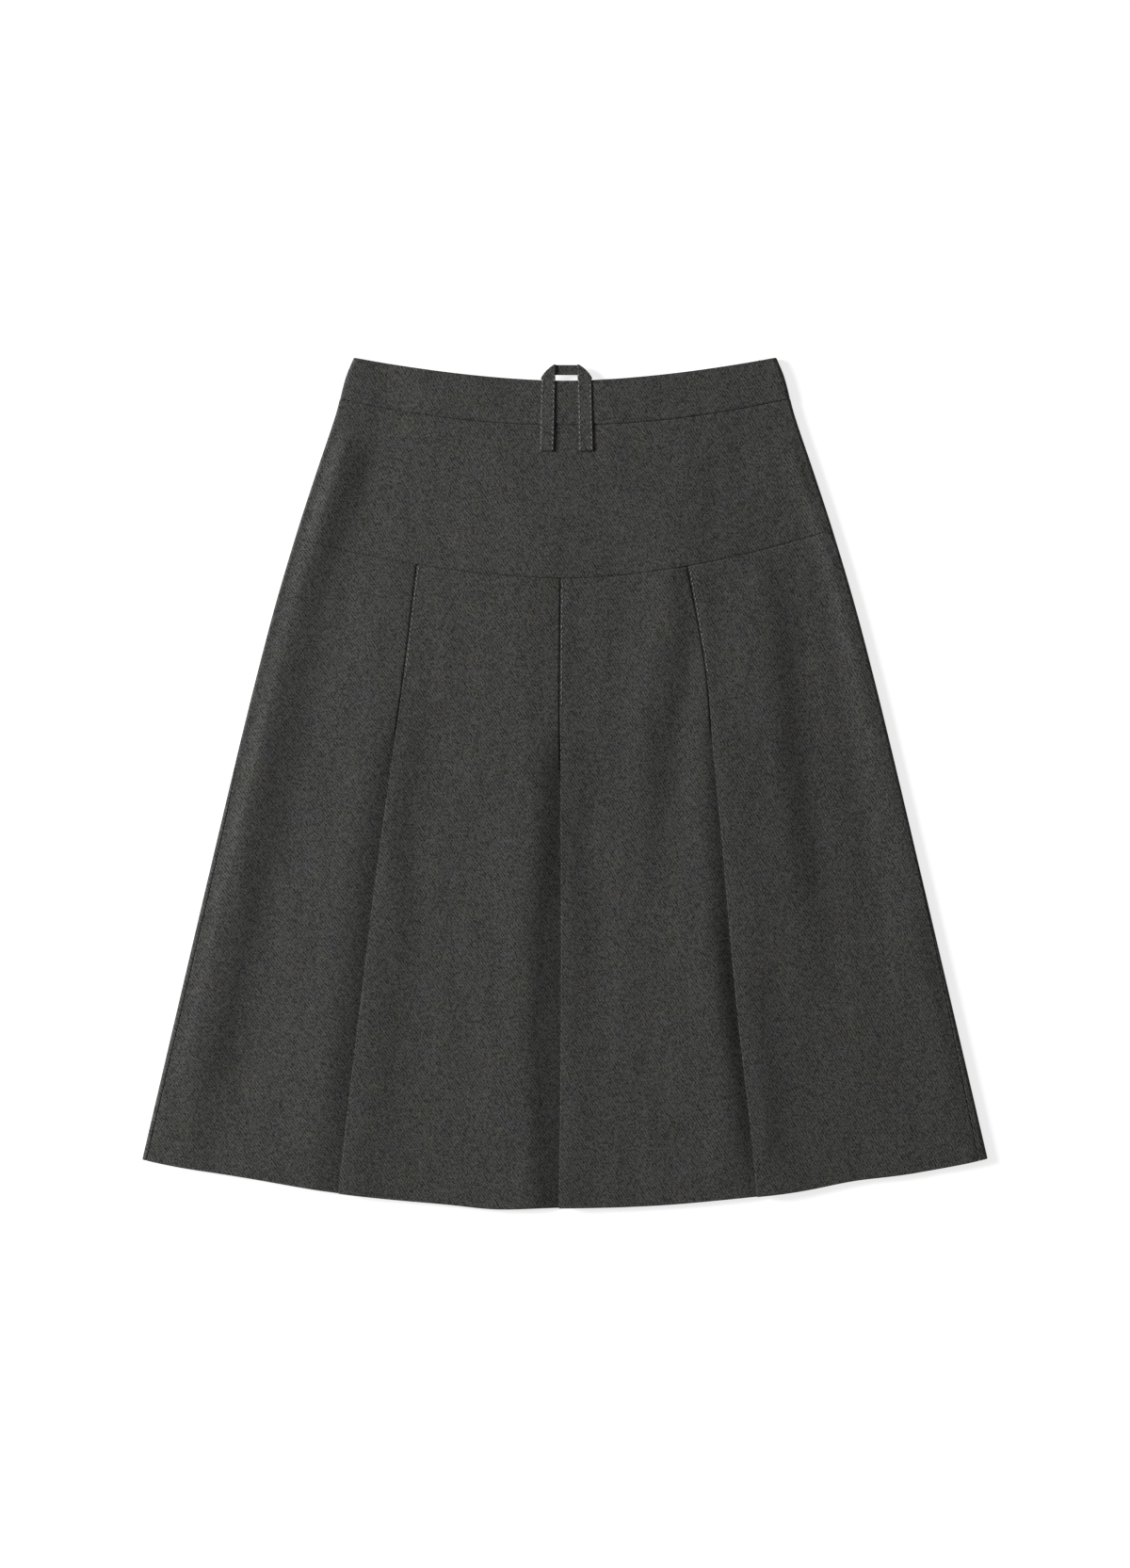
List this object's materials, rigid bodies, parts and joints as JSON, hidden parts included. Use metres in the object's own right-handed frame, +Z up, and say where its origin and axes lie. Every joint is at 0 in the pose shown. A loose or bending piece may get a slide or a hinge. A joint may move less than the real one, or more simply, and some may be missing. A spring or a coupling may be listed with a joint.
{
  "type": "pleated skirt",
  "caption": "Flat-laid A-line skirt with a curved waistband, a deep front yoke, one-way knife pleats and a ribbon loop at the centre of the waist.",
  "frame": {"origin": "centre of the part's box, on the surface that the back lies on", "axes": "+Z up, away from the surface and out of the skirt's front; +Y from hem to waist; +X towards the wearer's left side"},
  "size_m": [0.7009, 0.7055, 0.0094],
  "materials": {
    "skirt_cloth": "matt charcoal wool twill",
    "loop_ribbon": "matt charcoal wool twill, stitched ribbon",
    "zip_tape": "dark woven tape",
    "zip_slider": "dark satin metal"
  },
  "bodies": {
    "root": {"waistband_front": "skirt_cloth", "waistband_back": "skirt_cloth", "yoke_front": "skirt_cloth", "skirt_front": "skirt_cloth", "skirt_back": "skirt_cloth", "waist_loop": "loop_ribbon", "zip_tape": "zip_tape", "zip_slider": "zip_slider"}
  },
  "joints": []
}
